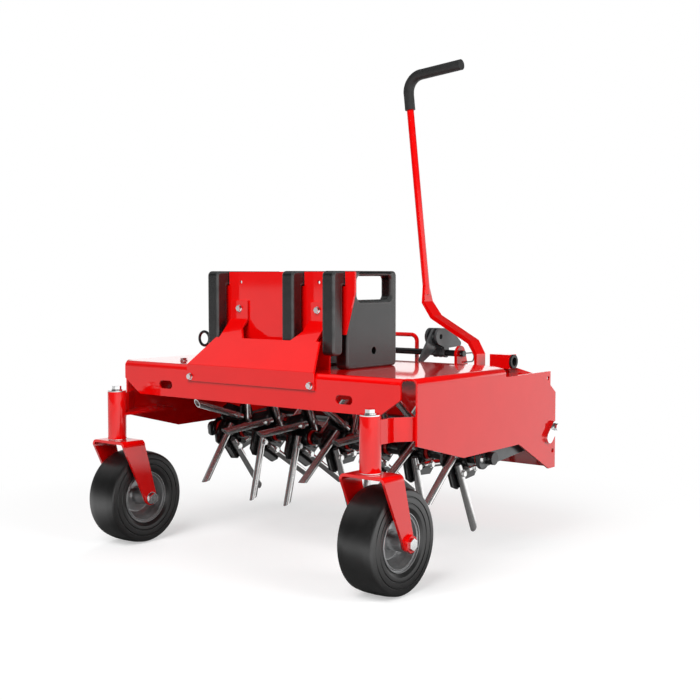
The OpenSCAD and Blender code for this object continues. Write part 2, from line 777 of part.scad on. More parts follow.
module deck() color(red) difference() {
  union() {
    translate([-flange_half_w, flange_y + bend_r, deck_low])
      cube([2 * flange_half_w, panel_front_y - flange_y - bend_r, sheet]);
    translate([bend_r - deck_half_w, panel_front_y, deck_low])
      cube([2 * (deck_half_w - bend_r), bend_rear_y - panel_front_y, sheet]);
    translate([0, 0, deck_low]) linear_extrude(sheet)
      polygon([[bend_r - deck_half_w, bend_rear_y], [deck_half_w - bend_r, bend_rear_y],
        [deck_rear_half_w, deck_rear_y], [-deck_rear_half_w, deck_rear_y]]);
    along_x(-flange_half_w, 2 * flange_half_w)
      translate([flange_y + bend_r, panel_top]) mirror([1, 0]) bend_quarter(bend_r, sheet);
    along_y(flange_y, sheet) polygon([[-flange_half_w, panel_top], [-flange_half_w, flange_chamfer_z],
      [-flange_low_half_w, flange_low], [flange_low_half_w, flange_low],
      [flange_half_w, flange_chamfer_z], [flange_half_w, panel_top]]);
    both_sides() along_y(panel_front_y, bend_rear_y - panel_front_y)
      translate([deck_half_w - bend_r, panel_top]) bend_quarter(bend_r, sheet);
  }
  both_sides() along_y(flange_y - over, sheet + 2 * over) translate([slot_x, slot_z])
    plate_around([[(slot_w - slot_len) / 2, 0, slot_w / 2], [(slot_len - slot_w) / 2, 0, slot_w / 2]]);
  both_sides() translate([cover_bolt_x, flange_y - over, cover_bolt_z]) rotate([-90, 0, 0])
    cylinder(r = small_bolt_r + bolt_gap, h = sheet + 2 * over);
}

module side_panel() difference() {
  along_x(panel_in, sheet) polygon([[panel_front_y, panel_top], [panel_front_y, panel_front_low],
    [panel_vertex_y, panel_vertex_z], [panel_notch_y, panel_notch_z], [panel_foot_y, panel_foot_z],
    [panel_rear_y, panel_foot_z], [panel_rear_y, panel_rear_z], [panel_shoulder_y, panel_shoulder_z],
    [panel_shoulder_y, panel_back_top], [bend_rear_y, panel_back_top], [bend_rear_y, panel_top]]);
  translate([0, hitch_up_y, hitch_up_z]) rod_x(panel_in - over, sheet + 2 * over, hitch_hole_r);
  translate([0, hitch_low_y, hitch_low_z]) rod_x(panel_in - over, sheet + 2 * over, hitch_hole_r);
  translate([0, pivot_y, pivot_z]) rod_x(panel_in - over, sheet + 2 * over, pin_r + bolt_gap);
}

module side_panel_right() color(red) side_panel();
module side_panel_left() color(red) mirror([1, 0, 0]) side_panel();

module hitch_plate() color(red) along_y(plate_y, plate_t) polygon([
  [-panel_in, panel_foot_z], [panel_in, panel_foot_z], [panel_in, plate_step_z],
  [plate_top_half_w, panel_shoulder_z], [plate_top_half_w, plate_top - plate_slope],
  [plate_top_half_w - plate_slope_w, plate_top], [plate_slope_w - plate_top_half_w, plate_top],
  [-plate_top_half_w, plate_top - plate_slope], [-plate_top_half_w, panel_shoulder_z],
  [-panel_in, plate_step_z]]);

module rod_lugs() color(red) both_sides() difference() {
  along_x(lug_x - lug_t / 2, lug_t) {
    translate([rod_y, rod_z]) circle(lug_r);
    polygon([[rod_y - lug_r, rod_z], [rod_y - lug_r, lug_low], [plate_y, lug_low],
      [plate_y, rod_z - sqrt(lug_r * lug_r - rod_in * rod_in)]]);
    polygon([[rod_y, rod_z], [rod_y + lug_side_r * cos(lug_lean), rod_z + lug_side_r * sin(lug_lean)],
      [rod_y + lug_foot, plate_top], [plate_y, plate_top]]);
  }
  translate([0, rod_y, rod_z]) rod_x(0, 2 * lug_x, rod_r);
}

module hinge_rod() color(black) difference() {
  translate([0, rod_y, rod_z]) rod_x(-rod_end, 2 * rod_end, rod_r);
  both_sides() translate([rod_end - clip_in, rod_y - 2 * rod_r, rod_z]) rotate([-90, 0, 0])
    cylinder(r = clip_r + bolt_gap, h = 4 * rod_r);
}

module rod_clips() color(silver) both_sides() translate([rod_end - clip_in, rod_y, rod_z]) {
  translate([0, -clip_front, 0]) rotate([-90, 0, 0]) cylinder(r = clip_r, h = clip_front + clip_back);
  translate([0, clip_back, -clip_bend_r]) rotate([0, 90, 0])
    rotate_extrude(angle = 180) translate([clip_bend_r, 0]) circle(clip_r);
  translate([0, clip_back - clip_leg, -2 * clip_bend_r]) rotate([-90, 0, 0]) cylinder(r = clip_r, h = clip_leg);
}

module coupler_plate() {
  plate_around([[0, coupler_waist_h, coupler_waist_r], [coupler_tip_back, coupler_tip_h, coupler_tip_r],
    [coupler_crown_back, coupler_crown_h, coupler_crown_r],
    [-coupler_hole_in, coupler_hole_h, coupler_lobe_r]]);
  translate([tangent_in - coupler_waist_r, 0]) square([2 * (coupler_waist_r - tangent_in), coupler_waist_h]);
  circle(coupler_foot_r);
}

// Flat tongue between the coupler plates, from the bore forwards and down
module coupler_tongue() {
  plate_around([[-coupler_hole_in - tongue_reach, coupler_hole_h - tongue_drop, tongue_r],
    [-coupler_hole_in, coupler_hole_h - tongue_root, tongue_r],
    [-coupler_hole_in, coupler_hole_h, coupler_lobe_r]]);
  plate_around([[0, 0, coupler_foot_r], [-coupler_hole_in, coupler_hole_h, coupler_foot_r]]);
}

module coupler() color(grey) translate([0, rod_y, rod_z]) difference() {
  union() {
    for (x = [coupler_x - coupler_w, coupler_x - coupler_t]) along_x(x, coupler_t) coupler_plate();
    along_x(coupler_x - (coupler_w + coupler_t) / 2, coupler_t) coupler_tongue();
    rod_x(coupler_x - coupler_w, coupler_w, coupler_tube_r);
  }
  rod_x(coupler_x - coupler_w - over, coupler_w + 2 * over, rod_r + run_gap);
  translate([0, -coupler_hole_in, coupler_hole_h])
    rod_x(coupler_x - coupler_w - over, coupler_w + 2 * over, coupler_hole_r);
}

module carry_loop() color(red) translate([loop_x, panel_rear_y + loop_bar_r + loop_gap, 0]) {
  both_sides() {
    translate([loop_half_w, 0, loop_low]) cylinder(r = loop_bar_r, h = loop_top - loop_bend_r - loop_low);
    translate([loop_half_w - loop_bend_r, 0, loop_top - loop_bend_r]) rotate([90, 0, 0])
      rotate_extrude(angle = 90) translate([loop_bend_r, 0]) circle(loop_bar_r);
    translate([loop_half_w - loop_bar_r, -loop_bar_r - loop_gap, loop_low])
      cube([2 * loop_bar_r, loop_bar_r + loop_gap, loop_pad_h]);
  }
  translate([0, 0, loop_top]) rod_x(loop_bend_r - loop_half_w, 2 * (loop_half_w - loop_bend_r), loop_bar_r);
}

module hitch_sleeves() color(red) both_sides() difference() {
  union() {
    translate([sleeve_in_x, sleeve_y - sleeve_r, sleeve_z - sleeve_r])
      cube([sleeve_len, 2 * sleeve_r, 2 * sleeve_r]);
    translate([sleeve_in_x, sleeve_y - sleeve_r / 2, sleeve_foot_z])
      cube([sleeve_foot_w, sleeve_in + sleeve_r / 2, sleeve_z - sleeve_foot_z]);
  }
  translate([0, sleeve_y, sleeve_z]) rod_x(sleeve_in_x - over, sleeve_len + 2 * over, bushing_r);
}

module sleeve_bushings() color(black) both_sides() translate([0, sleeve_y, sleeve_z]) difference() {
  union() {
    rod_x(sleeve_in_x, sleeve_len, bushing_r);
    rod_x(sleeve_in_x + sleeve_len, bushing_flange_t, sleeve_r);
  }
  rod_x(sleeve_in_x - over, sleeve_len + bushing_flange_t + 2 * over, bushing_bore_r);
}

module lift_brackets() color(red) both_sides() along_x(bracket_x - crank_t / 2, crank_t) difference() {
  union() {
    translate([lift_y, lift_z]) circle(bracket_r);
    translate([lift_y, lift_z - bracket_r]) square([plate_y - lift_y, 2 * bracket_r]);
  }
  translate([lift_y, lift_z]) circle(lift_r + run_gap);
}

module pivot_pins() color(silver) both_sides() {
  translate([0, pivot_y, pivot_z]) rod_x(pin_in_x, deck_half_w - pin_in_x, pin_r);
  translate([0, pivot_y, pivot_z]) rod_x(swing_x + side_gap, panel_in - swing_x - side_gap, collar_r);
  along_x(deck_half_w, keeper_t) translate([pivot_y, pivot_z]) rotate(keeper_turn)
    link_bar(keeper_len, keeper_w, keeper_w / 2, keeper_w / 2);
  translate([deck_half_w + keeper_t, pivot_y, pivot_z]) rotate([keeper_turn, 0, 0])
    translate([0, keeper_len, 0]) rotate([0, 90, 0]) hex_head(keeper_bolt_r);
}

module caster_arm() difference() {
  union() {
    translate([caster_x, caster_y, barrel_low]) cylinder(r = barrel_r, h = barrel_top - barrel_low);
    translate([0, 0, arm_low]) linear_extrude(arm_top - arm_low) polygon([[arm_x, caster_y],
      [arm_x, arm_bend_y], [panel_in - arm_t, arm_meet_y], [panel_in - arm_t, arm_end_y],
      [panel_in, arm_end_y], [panel_in, arm_meet_y], [arm_x + arm_t, arm_bend_y], [arm_x + arm_t, caster_y]]);
    translate([0, 0, arm_low]) linear_extrude(arm_t) polygon([[caster_x - barrel_r, caster_y],
      [caster_x - barrel_r, arm_bend_y], [panel_in - gusset_w, arm_end_y], [panel_in, arm_end_y],
      [panel_in, arm_meet_y], [arm_x + arm_t, arm_bend_y], [arm_x + arm_t, caster_y]]);
  }
  translate([caster_x, caster_y, barrel_low - over])
    cylinder(r = spindle_r + run_gap, h = barrel_top - barrel_low + 2 * over);
}

module caster_arm_right() color(red) caster_arm();
module caster_arm_left() color(red) mirror([1, 0, 0]) caster_arm();

// Side drawing of a fork arm below the fork's bent top
module fork_side() {
  translate([wheel_y, tyre_r]) circle(fork_eye_r);
  polygon([[caster_y - fork_front, fork_top - bend_r], [caster_y + fork_back, fork_top - bend_r],
    [wheel_y + fork_eye_r * cos(fork_rake), tyre_r + fork_eye_r * sin(fork_rake)],
    [wheel_y - fork_eye_r * cos(fork_rake), tyre_r - fork_eye_r * sin(fork_rake)]]);
}

module fork() difference() {
  union() {
    along_y(caster_y - fork_front, fork_front + fork_back) translate([caster_x, fork_top]) {
      translate([bend_r - fork_out_w / 2, -fork_t]) square([fork_out_w - 2 * bend_r, fork_t]);
      both_sides() translate([fork_out_w / 2 - bend_r, -bend_r]) bend_quarter(bend_r, fork_t);
    }
    for (x = [-fork_out_w / 2, fork_in_w / 2]) along_x(caster_x + x, fork_t) fork_side();
  }
  translate([0, wheel_y, tyre_r]) rod_x(caster_x - fork_out_w, 2 * fork_out_w, axle_r + bolt_gap);
}

module spindle() translate([caster_x, caster_y, fork_top]) {
  cylinder(r = washer_r, h = washer_t);
  cylinder(r = spindle_r, h = barrel_top + washer_t - fork_top);
  translate([0, 0, barrel_top - fork_top]) cylinder(r = washer_r, h = washer_t);
  translate([0, 0, barrel_top + washer_t - fork_top]) hex_head(nut_r);
}

module axle_bolt() translate([caster_x, wheel_y, tyre_r]) {
  rod_x(-fork_out_w / 2, fork_out_w, axle_r);
  translate([fork_out_w / 2, 0, 0]) rotate([0, 90, 0]) hex_head(axle_r);
  translate([-fork_out_w / 2, 0, 0]) rotate([0, -90, 0]) hex_head(axle_r);
}

// Turns a drawing of radius (x) and width (y) about the wheel's axle
module about_axle() {
  translate([caster_x, wheel_y, tyre_r]) rotate([0, 90, 0]) rotate_extrude($fn = 96) children();
}

module rim() about_axle() {
  translate([axle_r + run_gap, -hub_len / 2]) square([hub_r - axle_r - run_gap, hub_len]);
  translate([hub_r, -rim_web / 2]) square([bead_r - rim_wall - hub_r, rim_web]);
  translate([bead_r - rim_wall, -rim_half_w]) square([rim_wall, 2 * rim_half_w]);
  for (y = [-rim_half_w, rim_half_w - rim_wall])
    translate([bead_r - rim_wall, y]) square([rim_r - bead_r + rim_wall, rim_wall]);
}

module tyre() about_axle() difference() {
  translate([bead_r, -tyre_w / 2]) union() {
    round_rect(tyre_r - bead_r, tyre_w, tyre_shoulder_r);
    translate([0, tyre_w / 2 - rim_half_w]) square([tyre_shoulder_r, 2 * rim_half_w]);
  }
  for (s = [0, 1]) mirror([0, s]) translate([0, rim_half_w - rim_wall])
    square([rim_r + bolt_gap, tyre_w]);
}

module fork_right() color(red) fork();
module fork_left() color(red) mirror([1, 0, 0]) fork();
module spindle_right() color(silver) spindle();
module spindle_left() color(silver) mirror([1, 0, 0]) spindle();
module axle_right() color(silver) axle_bolt();
module axle_left() color(silver) mirror([1, 0, 0]) axle_bolt();
module rim_right() color(grey) rim();
module rim_left() color(grey) mirror([1, 0, 0]) rim();
module tyre_right() color(black) tyre();
module tyre_left() color(black) mirror([1, 0, 0]) tyre();

module rack_plate() color(red) difference() {
  along_y(rack_y, rack_t) difference() {
    polygon([[-rack_foot_half_w, deck_top], [rack_foot_half_w, deck_top], [rack_foot_half_w, rack_step_z],
      [rack_low_half_w, rack_step_z], [rack_half_w, rack_taper_z], [rack_half_w, rack_top],
      [-rack_half_w, rack_top], [-rack_half_w, rack_taper_z], [-rack_low_half_w, rack_step_z],
      [-rack_foot_half_w, rack_step_z]]);
    for (x = weight_xs) translate([x - weight_t / 2 - rack_gap, bridge_low - rack_gap])
      square([weight_t + 2 * rack_gap, rack_top]);
    for (x = [-rack_bolt_x, rack_bolt_x]) {
      translate([x, rack_bolt_z]) circle(small_bolt_r + bolt_gap);
      translate([x, rack_hole_z]) circle(small_bolt_r);
    }
  }
}

// Side drawing of the cover: flange, slanted face and flat upper ends
module cover_side() polygon([[flange_y - cover_t, cover_low], [flange_y - cover_t, deck_top + cover_t / 2],
  [cover_crease_y, cover_crease_z], [rack_y - cover_t, tab_top], [rack_y - cover_t, tab_end],
  [rack_y, tab_end], [rack_y, tab_top - cover_t / 2],
  [cover_crease_y + cover_t * sin(cover_slope), cover_edge_z],
  [flange_y, deck_top + cover_lift], [flange_y, cover_low]]);

// Front drawing of the cover with its two tabs
module cover_front() polygon([[-cover_half_w, cover_low], [cover_half_w, cover_low], [cover_half_w, deck_top],
  [cover_crease_half_w, cover_edge_z], [tab_out, cover_edge_z], [tab_out, tab_end], [tab_in, tab_end],
  [tab_in, cover_edge_z + tab_fill_h], [tab_in - tab_fill_w, cover_edge_z],
  [tab_fill_w - tab_in, cover_edge_z], [-tab_in, cover_edge_z + tab_fill_h], [-tab_in, tab_end],
  [-tab_out, tab_end], [-tab_out, cover_edge_z], [-cover_crease_half_w, cover_edge_z],
  [-cover_half_w, deck_top]]);

module rack_cover() color(red) difference() {
  intersection() {
    along_x(-cover_half_w, 2 * cover_half_w) cover_side();
    along_y(flange_y - 2 * cover_t, rack_y - flange_y + 4 * cover_t) cover_front();
  }
  both_sides() translate([rack_bolt_x, rack_y - 2 * cover_t, rack_bolt_z]) rotate([-90, 0, 0])
    cylinder(r = small_bolt_r + bolt_gap, h = 3 * cover_t);
  both_sides() translate([cover_bolt_x, flange_y - 2 * cover_t, cover_bolt_z]) rotate([-90, 0, 0])
    cylinder(r = small_bolt_r + bolt_gap, h = 3 * cover_t);
}

module rack_bolts() color(silver) {
  both_sides() bolt_y(rack_bolt_x, rack_y - cover_t, rack_bolt_z, small_bolt_r, cover_t + rack_t);
  both_sides() bolt_y(cover_bolt_x, flange_y - cover_t, cover_bolt_z, small_bolt_r, cover_t + sheet);
  translate([deck_bolt_x, deck_bolt_y, deck_top]) hex_head(deck_bolt_r);
}

module weight(x) translate([x - weight_t / 2, 0, 0]) difference() {
  along_x(0, weight_t) {
    translate([slab_y, deck_top]) round_rect(slab_len, weight_top - deck_top, weight_r);
    translate([nose_y, nose_low]) round_rect(nose_d, weight_top - nose_low, weight_r);
    translate([nose_y + weight_r, bridge_low]) square([slab_y - nose_y, weight_top - bridge_low]);
  }
  along_x(-over, weight_t + 2 * over) {
    translate([hand_y, hand_low]) round_rect(hand_len, hand_h, weight_r);
    translate([lock_y, lock_z]) circle(lock_hole_r);
  }
}

module weight_left() color(black) weight(-weight_x);
module weight_middle() color(black) weight(weight_in_x);
module weight_right() color(black) weight(weight_x);

module lock_tab() color(red) along_x(lock_tab_x - lug_t / 2, lug_t) difference() {
  union() {
    translate([lock_y - lock_tab_half_w, deck_top]) square([2 * lock_tab_half_w, lock_z - deck_top]);
    translate([lock_y, lock_z]) circle(lock_tab_half_w);
  }
  translate([lock_y, lock_z]) circle(lock_r + run_gap);
}

module lock_rod() color(black) translate([0, lock_y, lock_z]) {
  rod_x(lock_left_x, weight_x - lock_left_x, lock_r);
  translate([lock_left_x - lock_ring_r * cos(lock_ring_turn), 0, lock_ring_r * sin(lock_ring_turn)])
    rotate([90, 0, 0]) rotate_extrude() translate([lock_ring_r, 0]) circle(lock_r);
}

// Turns a drawing so that its X runs along the cranks
module at_crank() rotate(180 - crank_rise) children();

module carriage_tube() color(black) difference() {
  union() {
    translate([0, pivot_y, pivot_z]) rod_x(swing_t - swing_x, 2 * (swing_x - swing_t), tube_r);
    both_sides() along_x(crank_x - crank_t / 2, crank_t) translate([pivot_y, pivot_z]) at_crank()
      link_bar(crank_r, 2 * crank_eye_r, lug_root_r, crank_eye_r);
    both_sides() translate([0, pivot_y + crank_dy, pivot_z + crank_dz])
      rod_x(crank_x, crank_t / 2 + stud_len, stud_r);
  }
  translate([0, pivot_y, pivot_z]) rod_x(-swing_x, 2 * swing_x, pin_r + run_gap);
}

module swing_arms() color(grey) both_sides() difference() {
  along_x(swing_x - swing_t, swing_t) translate([rotor_y, rotor_z]) rotate(swing_angle) union() {
    polygon([[swing_len, -swing_h / 2], [swing_len, swing_h / 2],
      [swing_chamfer - swing_nose, swing_h / 2], [-swing_nose, swing_h / 2 - swing_chamfer],
      [-swing_nose, swing_chamfer - swing_h / 2], [swing_chamfer - swing_nose, -swing_h / 2]]);
    translate([swing_len, 0]) circle(swing_eye_r);
  }
  translate([0, pivot_y, pivot_z]) rod_x(0, 2 * swing_x, pin_r + run_gap);
  translate([0, rotor_y, rotor_z]) rod_x(0, 2 * swing_x, shaft_r);
}

module arm_bolts() color(silver) both_sides()
  translate([swing_x, rotor_y - boss_r - arm_bolt_in, rotor_z]) rotate([0, 90, 0]) hex_head(small_bolt_r);

module rotor_shaft() color(black) translate([0, rotor_y, rotor_z]) {
  rod_x(-swing_x, 2 * swing_x, shaft_r);
  both_sides() rod_x(swing_x - swing_t - shaft_flange_t, shaft_flange_t, shaft_flange_r);
  both_sides() rod_x(swing_x, boss_len, boss_r);
}

module spacers() color(black) translate([0, rotor_y, rotor_z]) difference() {
  union() {
    for (i = [-star_side : star_side - 1])
      rod_x(i * star_pitch + star_hub_len / 2 + side_gap + ring_t, spacer_len - 2 * ring_t, spacer_r);
    both_sides() rod_x(star_side * star_pitch + star_hub_len / 2 + side_gap, end_spacer_len - ring_t, spacer_r);
  }
  rod_x(-swing_x, 2 * swing_x, shaft_r);
}

module spacer_rings() color(red) translate([0, rotor_y, rotor_z]) difference() {
  union() {
    for (i = [-star_side : star_side - 1]) for (x = [0, spacer_len - ring_t])
      rod_x(i * star_pitch + star_hub_len / 2 + side_gap + x, ring_t, ring_r);
    both_sides() rod_x(swing_x - swing_t - shaft_flange_t - ring_t, ring_t, ring_r);
  }
  rod_x(-swing_x, 2 * swing_x, shaft_r);
}

// Plate of a star wheel in a drawing of Y and Z, one arm per tine
module star_plate() {
  circle(star_core_r);
  for (k = [0 : tines - 1]) rotate(-90 - 360 / tines * k) translate([0, -tine_offset]) polygon([
    [0, -star_arm_w / 2], [star_arm - star_chamfer, -star_arm_w / 2],
    [star_arm, star_chamfer - star_arm_w / 2], [star_arm, star_arm_w / 2 - star_chamfer],
    [star_arm - star_chamfer, star_arm_w / 2], [0, star_arm_w / 2]]);
}

// Places a star wheel's pieces by its number, turned to its rest angle
module at_star(i) {
  translate([(i - star_side - 1) * star_pitch, rotor_y, rotor_z])
    rotate([-star_phases[i - 1], 0, 0]) children();
}

// Places a piece at tine k, with the tine along +Y
module at_tine(k) rotate([-90 - 360 / tines * k, 0, 0]) translate([tine_x, 0, -tine_offset]) children();

module star(i) color(black) at_star(i) difference() {
  union() {
    along_x(-star_t / 2, star_t) star_plate();
    rod_x(-star_hub_len / 2, star_hub_len, star_hub_r);
  }
  rod_x(-star_hub_len, 2 * star_hub_len, shaft_r + run_gap);
  for (k = [0 : tines - 1]) at_tine(k) translate([0, tine_bolt, 0])
    rod_x(-star_hub_len, 2 * star_hub_len, tine_bolt_r + bolt_gap);
}

module tine() difference() {
  union() {
    translate([0, tine_root, 0]) rotate([-90, 0, 0]) cylinder(r = tine_r, h = tine_tip - tine_root);
    translate([0, tine_bolt, 0]) {
      rod_x(-tine_x - star_t / 2, tine_x + star_t / 2 + tine_r, tine_bolt_r);
      translate([tine_r - head_sink, 0, 0]) rotate([0, 90, 0]) hex_head(tine_bolt_r);
      translate([-tine_x - star_t / 2, 0, 0]) rotate([0, -90, 0]) hex_head(tine_bolt_r);
    }
  }
  translate([0, tine_bore, 0]) rotate([-90, 0, 0]) cylinder(r = tine_r - tine_wall, h = tine_tip);
  translate([0, tine_root - over, 0]) rotate([-90, 0, 0])
    cylinder(r = tine_r - tine_wall, h = tine_bolt - 2 * tine_bolt_r);
  translate([-2 * tine_r, tine_tip - tine_window - tine_ring, -tine_r / 2])
    cube([2 * tine_r, tine_window, tine_r]);
  translate([-2 * tine_r, tine_tip, -tine_r]) rotate([tine_cut, 0, 0]) cube(4 * tine_r);
}

module tine_set(i) color(silver) at_star(i) for (k = [0 : tines - 1]) at_tine(k) tine();

module star_1() star(1);
module star_2() star(2);
module star_3() star(3);
module star_4() star(4);
module star_5() star(5);
module star_6() star(6);
module star_7() star(7);
module tines_1() tine_set(1);
module tines_2() tine_set(2);
module tines_3() tine_set(3);
module tines_4() tine_set(4);
module tines_5() tine_set(5);
module tines_6() tine_set(6);
module tines_7() tine_set(7);

module lift_shaft() color(black) {
  translate([0, lift_y, lift_z]) rod_x(-lift_left_x, lift_left_x + lever_x, lift_r);
  both_sides() along_x(crank_x - crank_t / 2, crank_t) translate([lift_y, lift_z]) at_crank()
    link_bar(crank_r, 2 * crank_eye_r, crank_root_r, crank_eye_r);
  both_sides() translate([0, lift_y + crank_dy, lift_z + crank_dz])
    rod_x(crank_x, crank_t / 2 + stud_len, stud_r);
}

module lift_links() color(grey) both_sides() along_x(crank_x + crank_t / 2 + side_gap, link_t)
  translate([pivot_y + crank_dy, pivot_z + crank_dz]) rotate(link_angle) difference() {
    link_bar(link_len, link_w, crank_eye_r, crank_eye_r);
    circle(stud_r + run_gap);
    translate([link_len, 0]) circle(stud_r + run_gap);
  }

// Line of the lever's flat bar in X and Z, shifted to one of its faces
function lever_line(side) = [[lever_x + lever_t / 2 + side, lift_z - lever_w / 2],
  [lever_x + lever_t / 2 + side, lever_bend1_z + side / 2], [lever_bend2_x + side, lever_bend2_z + side],
  [lever_bend3_x + side, lever_bend3_z + side], [lever_bend4_x + side, lever_bend4_z + side / 2],
  [lever_rod_x + side, lever_rod_z]];

// Flat lower part of the lever, bent in X and Z from the lift shaft up to the rod
module lever_bar() intersection() {
  along_y(lift_y - lever_w / 2, lever_w) polygon([for (p = lever_line(-lever_t / 2)) p,
    for (i = [5 : -1 : 0]) lever_line(lever_t / 2)[i]]);
  along_x(0, 2 * lever_x) {
    translate([lift_y, lift_z]) circle(lever_w / 2);
    translate([lift_y - lever_w / 2, lift_z]) square([lever_w, lever_bend4_z - lift_z]);
    polygon([[lift_y - lever_w / 2, lever_bend4_z], [lift_y + lever_w / 2, lever_bend4_z],
      [lift_y + lever_rod_r, lever_rod_z], [lift_y - lever_rod_r, lever_rod_z]]);
  }
}

// Places a piece with its Z along the lever rod, from the rod's lower end
module at_lever_rod() translate([lever_rod_x, lift_y, lever_rod_z]) rotate([0, -lever_lean, 0]) children();

module lever() color(red) {
  lever_bar();
  at_lever_rod() translate([0, 0, -rod_lap])
    cylinder(r = lever_rod_r, h = lever_rod_len - grip_drop + rod_lap);
}

module lever_grip() color(vinyl) at_lever_rod() {
  translate([0, 0, lever_rod_len - grip_drop])
    cylinder(r = grip_r - grip_seam, h = grip_drop - elbow_cut + over);
  translate([elbow_r, 0, lever_rod_len - elbow_cut]) rotate([90, grip_turn - 180, 0])
    rotate_extrude(angle = grip_turn) translate([elbow_r, 0]) circle(grip_r);
  translate([elbow_r * (1 - cos(grip_turn)), 0, lever_rod_len - elbow_cut + elbow_r * sin(grip_turn)])
    rotate([0, grip_turn, 0]) translate([0, 0, -over]) cylinder(r = grip_r - grip_seam, h = grip_len + over);
}

deck();
side_panel_right();
side_panel_left();
hitch_plate();
rod_lugs();
hinge_rod();
rod_clips();
coupler();
carry_loop();
hitch_sleeves();
sleeve_bushings();
lift_brackets();
pivot_pins();
caster_arm_right();
caster_arm_left();
fork_right();
fork_left();
spindle_right();
spindle_left();
axle_right();
axle_left();
rim_right();
rim_left();
tyre_right();
tyre_left();
rack_plate();
rack_cover();
rack_bolts();
weight_left();
weight_middle();
weight_right();
lock_tab();
lock_rod();
carriage_tube();
swing_arms();
arm_bolts();
rotor_shaft();
spacers();
spacer_rings();
star_1();
star_2();
star_3();
star_4();
star_5();
star_6();
star_7();
tines_1();
tines_2();
tines_3();
tines_4();
tines_5();
tines_6();
tines_7();
lift_shaft();
lift_links();
lever();
lever_grip();
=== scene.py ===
import json
import math

import bmesh
import bpy
from mathutils import Matrix, Vector


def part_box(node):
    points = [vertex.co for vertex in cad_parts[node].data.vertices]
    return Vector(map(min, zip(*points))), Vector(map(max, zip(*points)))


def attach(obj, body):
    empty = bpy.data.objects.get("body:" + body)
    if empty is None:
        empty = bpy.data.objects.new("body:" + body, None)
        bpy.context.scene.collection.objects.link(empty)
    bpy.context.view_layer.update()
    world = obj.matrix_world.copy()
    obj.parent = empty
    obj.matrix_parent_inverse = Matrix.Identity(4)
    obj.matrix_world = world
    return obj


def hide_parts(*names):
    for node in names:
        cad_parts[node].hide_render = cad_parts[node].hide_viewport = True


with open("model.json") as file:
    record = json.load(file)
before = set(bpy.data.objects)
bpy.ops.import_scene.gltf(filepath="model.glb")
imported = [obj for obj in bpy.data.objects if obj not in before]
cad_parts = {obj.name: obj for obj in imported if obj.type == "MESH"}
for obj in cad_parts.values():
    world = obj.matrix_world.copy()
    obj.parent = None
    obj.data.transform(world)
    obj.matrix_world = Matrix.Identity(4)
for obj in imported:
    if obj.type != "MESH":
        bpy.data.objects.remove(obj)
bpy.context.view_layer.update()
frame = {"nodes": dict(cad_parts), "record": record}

MM = 0.001
# Distance under which CAD corners are one, and angle under which CAD facets are one flat face
WELD = 0.02 * MM
FLAT = math.radians(0.5)


# Shader helpers


def grey(level):
    """A grey colour."""
    return (level, level, level)


def new_tree(owner, output):
    """The emptied node tree of a material or world, with its output."""
    owner.use_nodes = True
    tree = owner.node_tree
    tree.nodes.clear()
    return tree, tree.nodes.new(output)


def set_sockets(node, values):
    """Sets constant values on a node's sockets."""
    for socket, value in values.items():
        node.inputs[socket].default_value = value


def stretched(tree, vector, scale, turn=0.0, move=(0, 0, 0)):
    """The coordinates times a scale, turned about Z and then moved."""
    node = tree.nodes.new("ShaderNodeMapping")
    set_sockets(node, {"Scale": (scale, scale, scale), "Rotation": (0, 0, turn), "Location": move})
    tree.links.new(vector, node.inputs["Vector"])
    return node.outputs["Vector"]


def noise(tree, vector, scale, detail=3.0, rough=0.5):
    """A noise pattern with so many cells to the metre."""
    node = tree.nodes.new("ShaderNodeTexNoise")
    set_sockets(node, {"Scale": scale, "Detail": detail, "Roughness": rough})
    tree.links.new(vector, node.inputs["Vector"])
    return node.outputs["Fac"]


def ramp(tree, factor, stops):
    """A colour ramp between two stops, each with its place and colour."""
    node = tree.nodes.new("ShaderNodeValToRGB")
    for element, (place, colour) in zip(node.color_ramp.elements, stops):
        element.position = place
        element.color = (*colour, 1.0)
    tree.links.new(factor, node.inputs["Fac"])
    return node.outputs["Color"]


def axis_ramp(tree, vector, axis, stops):
    """A colour ramp along one axis of the coordinates."""
    node = tree.nodes.new("ShaderNodeSeparateXYZ")
    tree.links.new(vector, node.inputs["Vector"])
    return ramp(tree, node.outputs[axis], stops)


def round_ramp(tree, vector, stops):
    """A colour ramp over the closeness to the origin, which is 1 there and 0 at a distance of 1."""
    node = tree.nodes.new("ShaderNodeTexGradient")
    node.gradient_type = "SPHERICAL"
    tree.links.new(vector, node.inputs["Vector"])
    return ramp(tree, node.outputs["Fac"], stops)


def spread(tree, factor, low, high):
    """A factor carried over to the range from low to high."""
    node = tree.nodes.new("ShaderNodeMapRange")
    set_sockets(node, {"To Min": low, "To Max": high})
    tree.links.new(factor, node.inputs["Value"])
    return node.outputs["Result"]


def bump(tree, shader, height, distance, strength):
    """Bump of so many metres on the shader."""
    node = tree.nodes.new("ShaderNodeBump")
    set_sockets(node, {"Distance": distance, "Strength": strength})
    tree.links.new(height, node.inputs["Height"])
    tree.links.new(node.outputs["Normal"], shader.inputs["Normal"])


def mixed(tree, factor, first, second):
    """The first shader where the factor is 0 and the second where it is 1."""
    node = tree.nodes.new("ShaderNodeMixShader")
    tree.links.new(factor, node.inputs["Fac"])
    tree.links.new(first, node.inputs[1])
    tree.links.new(second, node.inputs[2])
    return node.outputs["Shader"]


def added(tree, first, second):
    """The sum of two shaders."""
    node = tree.nodes.new("ShaderNodeAddShader")
    tree.links.new(first, node.inputs[0])
    tree.links.new(second, node.inputs[1])
    return node.outputs["Shader"]


def seen(tree, shown, other, rays):
    """One shader for the named kinds of rays and another for all the rest."""
    path = tree.nodes.new("ShaderNodeLightPath")
    last = other
    for ray in rays:
        last = mixed(tree, path.outputs[ray], last, shown)
    return last


# Materials


